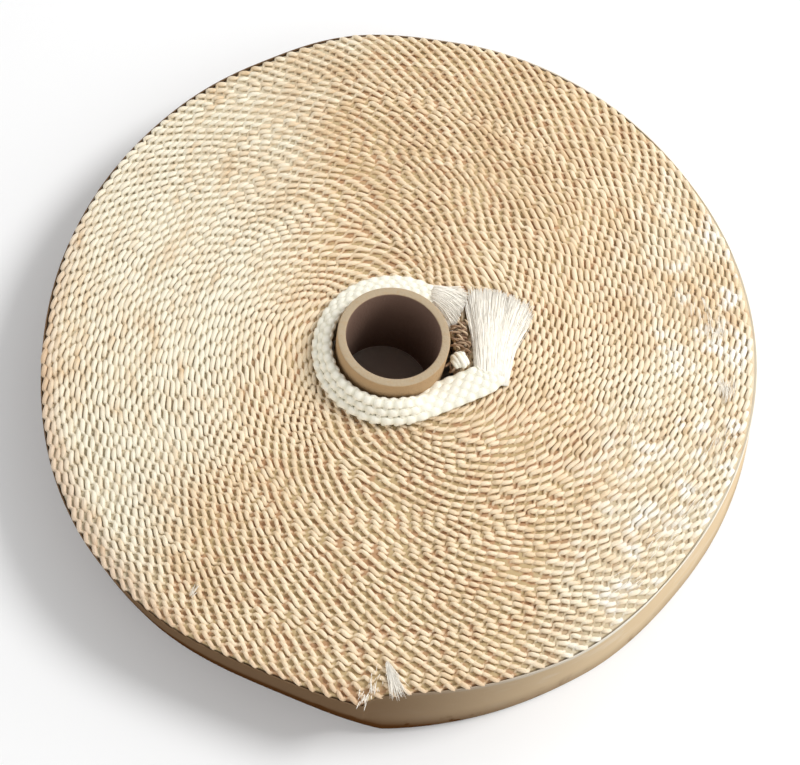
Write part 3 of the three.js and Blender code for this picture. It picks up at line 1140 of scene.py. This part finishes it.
class HEATWRAP_OT_outer_band(bpy.types.Operator):
    """Make the thin smooth band round the side, with its fold over the tape's end"""

    bl_idname = "heatwrap.outer_band"
    bl_label = "Outer band"

    def execute(self, context):
        size = sizes()
        around = 480
        levels = np.array([0, 0.06, 0.14, 0.25, 0.38, 0.52, 0.66, 0.79, 0.9, 0.975, 1])
        rows = len(levels) - 1
        bpy.ops.object.select_all(action="DESELECT")
        bpy.ops.mesh.primitive_circle_add(vertices=around, radius=1, fill_type="NOTHING")
        piece = context.active_object
        piece.name = "brown_band"
        bpy.ops.object.mode_set(mode="EDIT")
        for _ in range(rows):
            bpy.ops.mesh.extrude_edges_move(TRANSFORM_OT_translate={"value": (0, 0, 1)})
        bpy.ops.object.mode_set(mode="OBJECT")
        points = np.array([vertex.co for vertex in piece.data.vertices])
        angle = np.arctan2(points[:, 1], points[:, 0]) % FULL_TURN
        up = levels[np.rint(points[:, 2]).astype(int)]
        low = BAND_LOW.z
        high = BAND_HIGH.z + 0.4 * MM
        sway = smooth_field(41, 6, 0.05)
        x = np.cos(angle) * BASE_RADIUS
        y = np.sin(angle) * BASE_RADIUS
        tucked = 0.5 * MM * np.clip(np.cos(angle - LIP_TOWARD) * 2 - 1, 0, 1)
        height = low + up * (high - low + 0.3 * MM * sway(x, y) - tucked)
        ripple = smooth_field(43, 6, 0.04)(x, height * 0.5 + y) * 0.12 * MM
        radius = band_radius(angle, up) + ripple
        radius = radius * spread_scale(height, angle)
        move_points(
            piece, AXIS_X + radius * np.cos(angle), AXIS_Y + radius * np.sin(angle), height)
        face_outward()
        apply_modifier(piece, "SOLIDIFY", thickness=size.band_thickness, offset=1)
        bpy.ops.object.shade_smooth_by_angle(angle=math.radians(9))
        hand_over(piece, "band", "brown_band", "outer_band")
        return {"FINISHED"}


class HEATWRAP_OT_stage(bpy.types.Operator):
    """Make the pale floor, the soft light and the camera"""

    bl_idname = "heatwrap.stage"
    bl_label = "Stage"

    def execute(self, context):
        scene = context.scene
        bpy.ops.object.select_all(action="DESELECT")
        bpy.ops.mesh.primitive_plane_add(size=6, location=(0, 0, 0))
        floor = context.active_object
        floor.name = "floor"
        paint(floor, "floor")
        self.add_light((0.53, 0.14, 0.62), 0.28, 4.7)
        world = bpy.data.worlds.new("soft_sky")
        world.use_nodes = True
        tree = world.node_tree
        background = tree.nodes["Background"]
        background.inputs["Color"].default_value = (1, 1, 1, 1)
        # The sky dims overhead, so that it doesn't glare on the upper face
        way = add_node(tree, "ShaderNodeTexCoord", {}, {}).outputs["Generated"]
        upward = add_node(tree, "ShaderNodeSeparateXYZ", {}, {0: way}).outputs["Z"]
        dimming = add_node(tree, "ShaderNodeMapRange", {}, {
            "Value": upward, "From Min": 0.78, "From Max": 0.88, "To Min": 1.05, "To Max": 0.02})
        feed(tree, background.inputs["Strength"], dimming.outputs[0])
        scene.world = world
        scene.view_settings.view_transform = "Standard"
        self.add_camera(scene)
        return {"FINISHED"}

    def add_light(self, place, width, power):
        light = bpy.data.lights.new("key", "AREA")
        light.shape = "DISK"
        light.size = width
        light.energy = power
        holder = bpy.data.objects.new("key", light)
        holder.location = place
        holder.rotation_euler = (-Vector(place)).to_track_quat("-Z", "Y").to_euler()
        bpy.context.scene.collection.objects.link(holder)

    def add_camera(self, scene):
        """The photograph's camera, worked out from the roll's rim: its place is in rim radii
        from the middle of the upper face, and the image is 800 pixels wide."""
        radius = roll_radius()
        focal_pixels = 1400
        image_width = 800
        sensor = 36
        right = Vector((0.99986, 0, 0.0170))
        ahead = Vector((0.0160, 0.3440, -0.9389)).normalized()
        up = right.cross(ahead)
        place = Vector((AXIS_X, AXIS_Y, sizes().tape_width))
        place += radius * Vector((-0.0595, -1.4745, 3.6666))
        data = bpy.data.cameras.new("photo_camera")
        data.sensor_width = sensor
        data.sensor_fit = "HORIZONTAL"
        data.lens = focal_pixels / image_width * sensor
        camera = bpy.data.objects.new("photo_camera", data)
        turn = Matrix((right, up, -ahead)).transposed().to_4x4()
        camera.matrix_world = Matrix.Translation(place) @ turn
        scene.collection.objects.link(camera)
        scene.camera = camera


STEPS = (
    HEATWRAP_OT_wound_body,
    HEATWRAP_OT_upper_weave,
    HEATWRAP_OT_under_weave,
    HEATWRAP_OT_core_tube,
    HEATWRAP_OT_inner_strip,
    HEATWRAP_OT_frayed_ends,
    HEATWRAP_OT_loose_ends,
    HEATWRAP_OT_outer_band,
    HEATWRAP_OT_stage,
)


class HEATWRAP_PT_steps(bpy.types.Panel):
    """Lists the roll's pieces in the sidebar"""

    bl_label = "Heat wrap"
    bl_idname = "HEATWRAP_PT_steps"
    bl_space_type = "VIEW_3D"
    bl_region_type = "UI"
    bl_category = "Heat wrap"

    def draw(self, context):
        for step in STEPS:
            self.layout.operator(step.bl_idname)


CLASSES = (HeatWrapSizes, HeatWrapColours, *STEPS, HEATWRAP_PT_steps)


def register():
    for item in CLASSES:
        bpy.utils.register_class(item)
    bpy.types.Scene.heat_wrap_sizes = PointerProperty(type=HeatWrapSizes)
    bpy.types.Scene.heat_wrap_colours = PointerProperty(type=HeatWrapColours)


def unregister():
    del bpy.types.Scene.heat_wrap_colours
    del bpy.types.Scene.heat_wrap_sizes
    for item in reversed(CLASSES):
        bpy.utils.unregister_class(item)


def main():
    register()
    bpy.ops.heatwrap.wound_body()
    bpy.ops.heatwrap.upper_weave()
    bpy.ops.heatwrap.under_weave()
    bpy.ops.heatwrap.core_tube()
    bpy.ops.heatwrap.inner_strip()
    bpy.ops.heatwrap.frayed_ends()
    bpy.ops.heatwrap.loose_ends()
    bpy.ops.heatwrap.outer_band()
    bpy.ops.heatwrap.stage()


if __name__ == "__main__":
    main()
